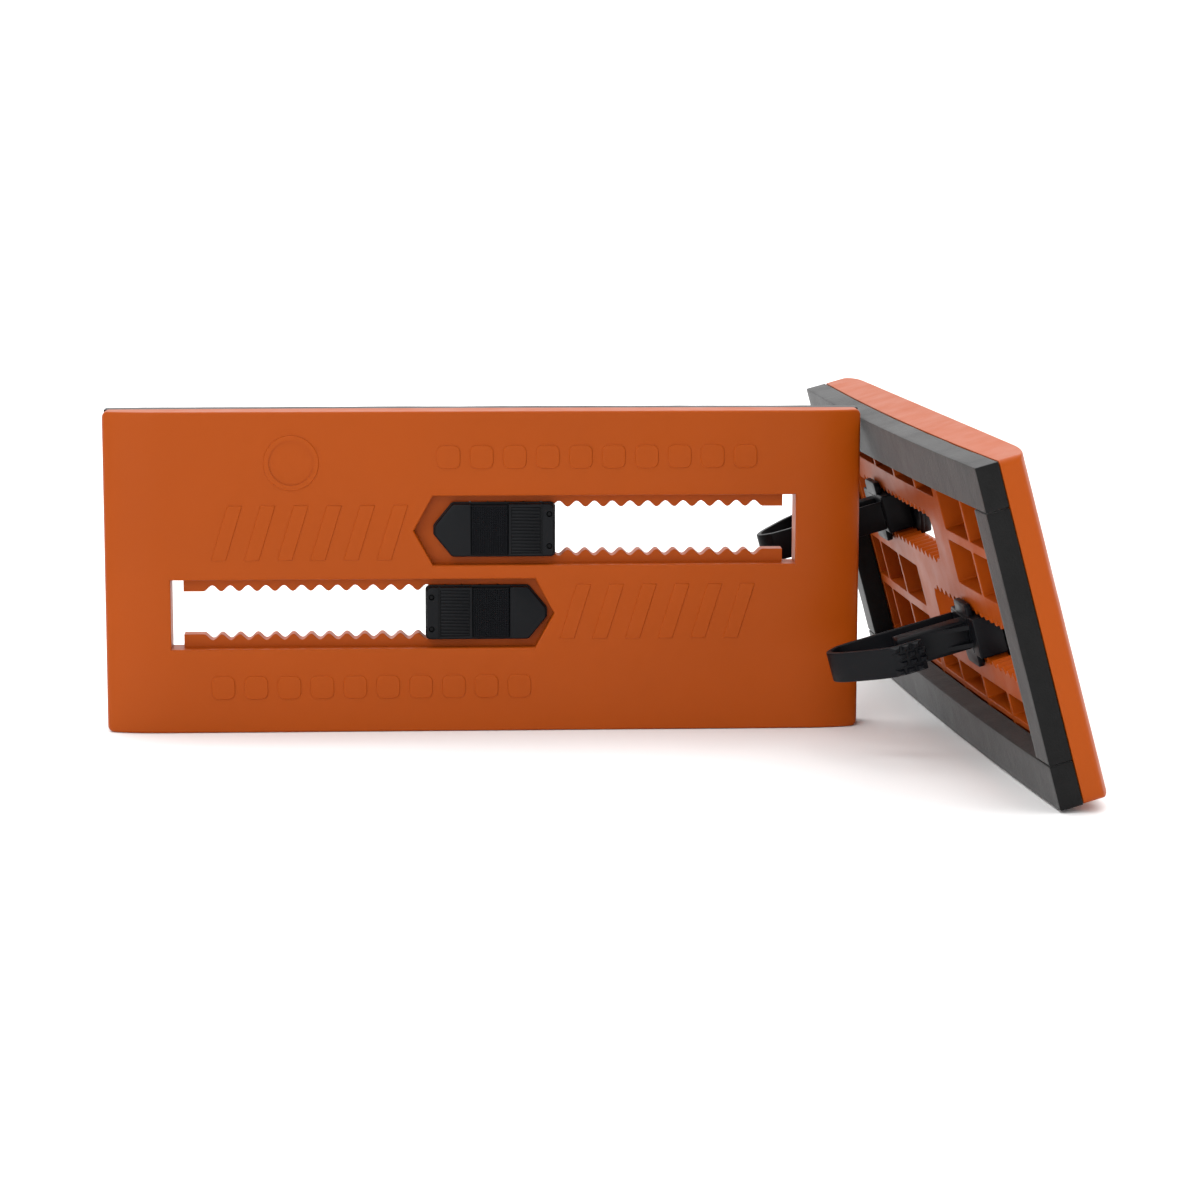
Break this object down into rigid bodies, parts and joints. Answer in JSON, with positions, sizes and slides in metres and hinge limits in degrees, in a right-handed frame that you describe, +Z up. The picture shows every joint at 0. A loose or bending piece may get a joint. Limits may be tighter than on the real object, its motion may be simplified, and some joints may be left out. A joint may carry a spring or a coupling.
{
  "type": "floor hole cover pair",
  "caption": "Slotted rectangular covers with foam gaskets and sliding spring-strap clamps, for closing floor duct openings; one stands, the other leans on its end.",
  "frame": {"origin": "the middle of the pair's footprint, on the ground", "axes": "+Z up; +X along the upright cover's length, towards the leaning cover; -Y is the way the upright cover's front face looks"},
  "size_m": [0.4394, 0.3596, 0.1539],
  "materials": {
    "shell_plastic": "satin orange moulded plastic",
    "gasket_foam": "closed-cell foam tape",
    "clamp_nylon": "satin black nylon",
    "pad_plastic": "textured black plastic",
    "post_plastic": "matte black plastic"
  },
  "bodies": {
    "upright_cover": {"upright_shell": "shell_plastic", "upright_foam_top": "gasket_foam", "upright_foam_bottom": "gasket_foam", "upright_foam_left": "gasket_foam", "upright_foam_right": "gasket_foam"},
    "leaning_cover": {"leaning_shell": "shell_plastic", "leaning_foam_top": "gasket_foam", "leaning_foam_bottom": "gasket_foam", "leaning_foam_left": "gasket_foam", "leaning_foam_right": "gasket_foam"},
    "upright_upper_slider": {"upright_upper_slider_head": "clamp_nylon", "upright_upper_carrier": "clamp_nylon", "upright_upper_strap": "clamp_nylon", "upright_upper_pin_1": "post_plastic", "upright_upper_pin_2": "post_plastic"},
    "upright_upper_lock_pad": {"upright_upper_lock_pad": "pad_plastic"},
    "upright_lower_slider": {"upright_lower_slider_head": "clamp_nylon", "upright_lower_carrier": "clamp_nylon", "upright_lower_strap": "clamp_nylon", "upright_lower_pin_1": "post_plastic", "upright_lower_pin_2": "post_plastic"},
    "upright_lower_lock_pad": {"upright_lower_lock_pad": "pad_plastic"},
    "leaning_upper_slider": {"leaning_upper_slider_head": "clamp_nylon", "leaning_upper_carrier": "clamp_nylon", "leaning_upper_strap": "clamp_nylon", "leaning_upper_pin_1": "post_plastic", "leaning_upper_pin_2": "post_plastic"},
    "leaning_upper_lock_pad": {"leaning_upper_lock_pad": "pad_plastic"},
    "leaning_lower_slider": {"leaning_lower_slider_head": "clamp_nylon", "leaning_lower_carrier": "clamp_nylon", "leaning_lower_strap": "clamp_nylon", "leaning_lower_pin_1": "post_plastic", "leaning_lower_pin_2": "post_plastic"},
    "leaning_lower_lock_pad": {"leaning_lower_lock_pad": "pad_plastic"}
  },
  "joints": [
    {"name": "leaning_cover_pull_away", "type": "slide", "parent": "upright_cover", "child": "leaning_cover", "axis": [1, 0, 0], "range_m": [0, 0.15]},
    {"name": "upright_upper_slider_travel", "type": "slide", "parent": "upright_cover", "child": "upright_upper_slider", "axis": [1, 0, 0], "range_m": [-0.005, 0.111]},
    {"name": "upright_upper_lock_pad_press", "type": "slide", "parent": "upright_upper_slider", "child": "upright_upper_lock_pad", "axis": [0, 1, 0], "range_m": [0, 0.0015], "stiffness_N_per_m": 600},
    {"name": "upright_lower_slider_travel", "type": "slide", "parent": "upright_cover", "child": "upright_lower_slider", "axis": [-1, 0, 0], "range_m": [0, 0.117]},
    {"name": "upright_lower_lock_pad_press", "type": "slide", "parent": "upright_lower_slider", "child": "upright_lower_lock_pad", "axis": [0, 1, 0], "range_m": [0, 0.0015], "stiffness_N_per_m": 600},
    {"name": "leaning_upper_slider_travel", "type": "slide", "parent": "leaning_cover", "child": "leaning_upper_slider", "axis": [-0.0822, 0.9966, 0], "range_m": [-0.025, 0.03]},
    {"name": "leaning_upper_lock_pad_press", "type": "slide", "parent": "leaning_upper_slider", "child": "leaning_upper_lock_pad", "axis": [-0.9612, -0.0793, -0.2643], "range_m": [0, 0.0015], "stiffness_N_per_m": 600},
    {"name": "leaning_lower_slider_travel", "type": "slide", "parent": "leaning_cover", "child": "leaning_lower_slider", "axis": [0.0822, -0.9966, 0], "range_m": [-0.04, 0.075]},
    {"name": "leaning_lower_lock_pad_press", "type": "slide", "parent": "leaning_lower_slider", "child": "leaning_lower_lock_pad", "axis": [-0.9612, -0.0793, -0.2643], "range_m": [0, 0.0015], "stiffness_N_per_m": 600}
  ]
}
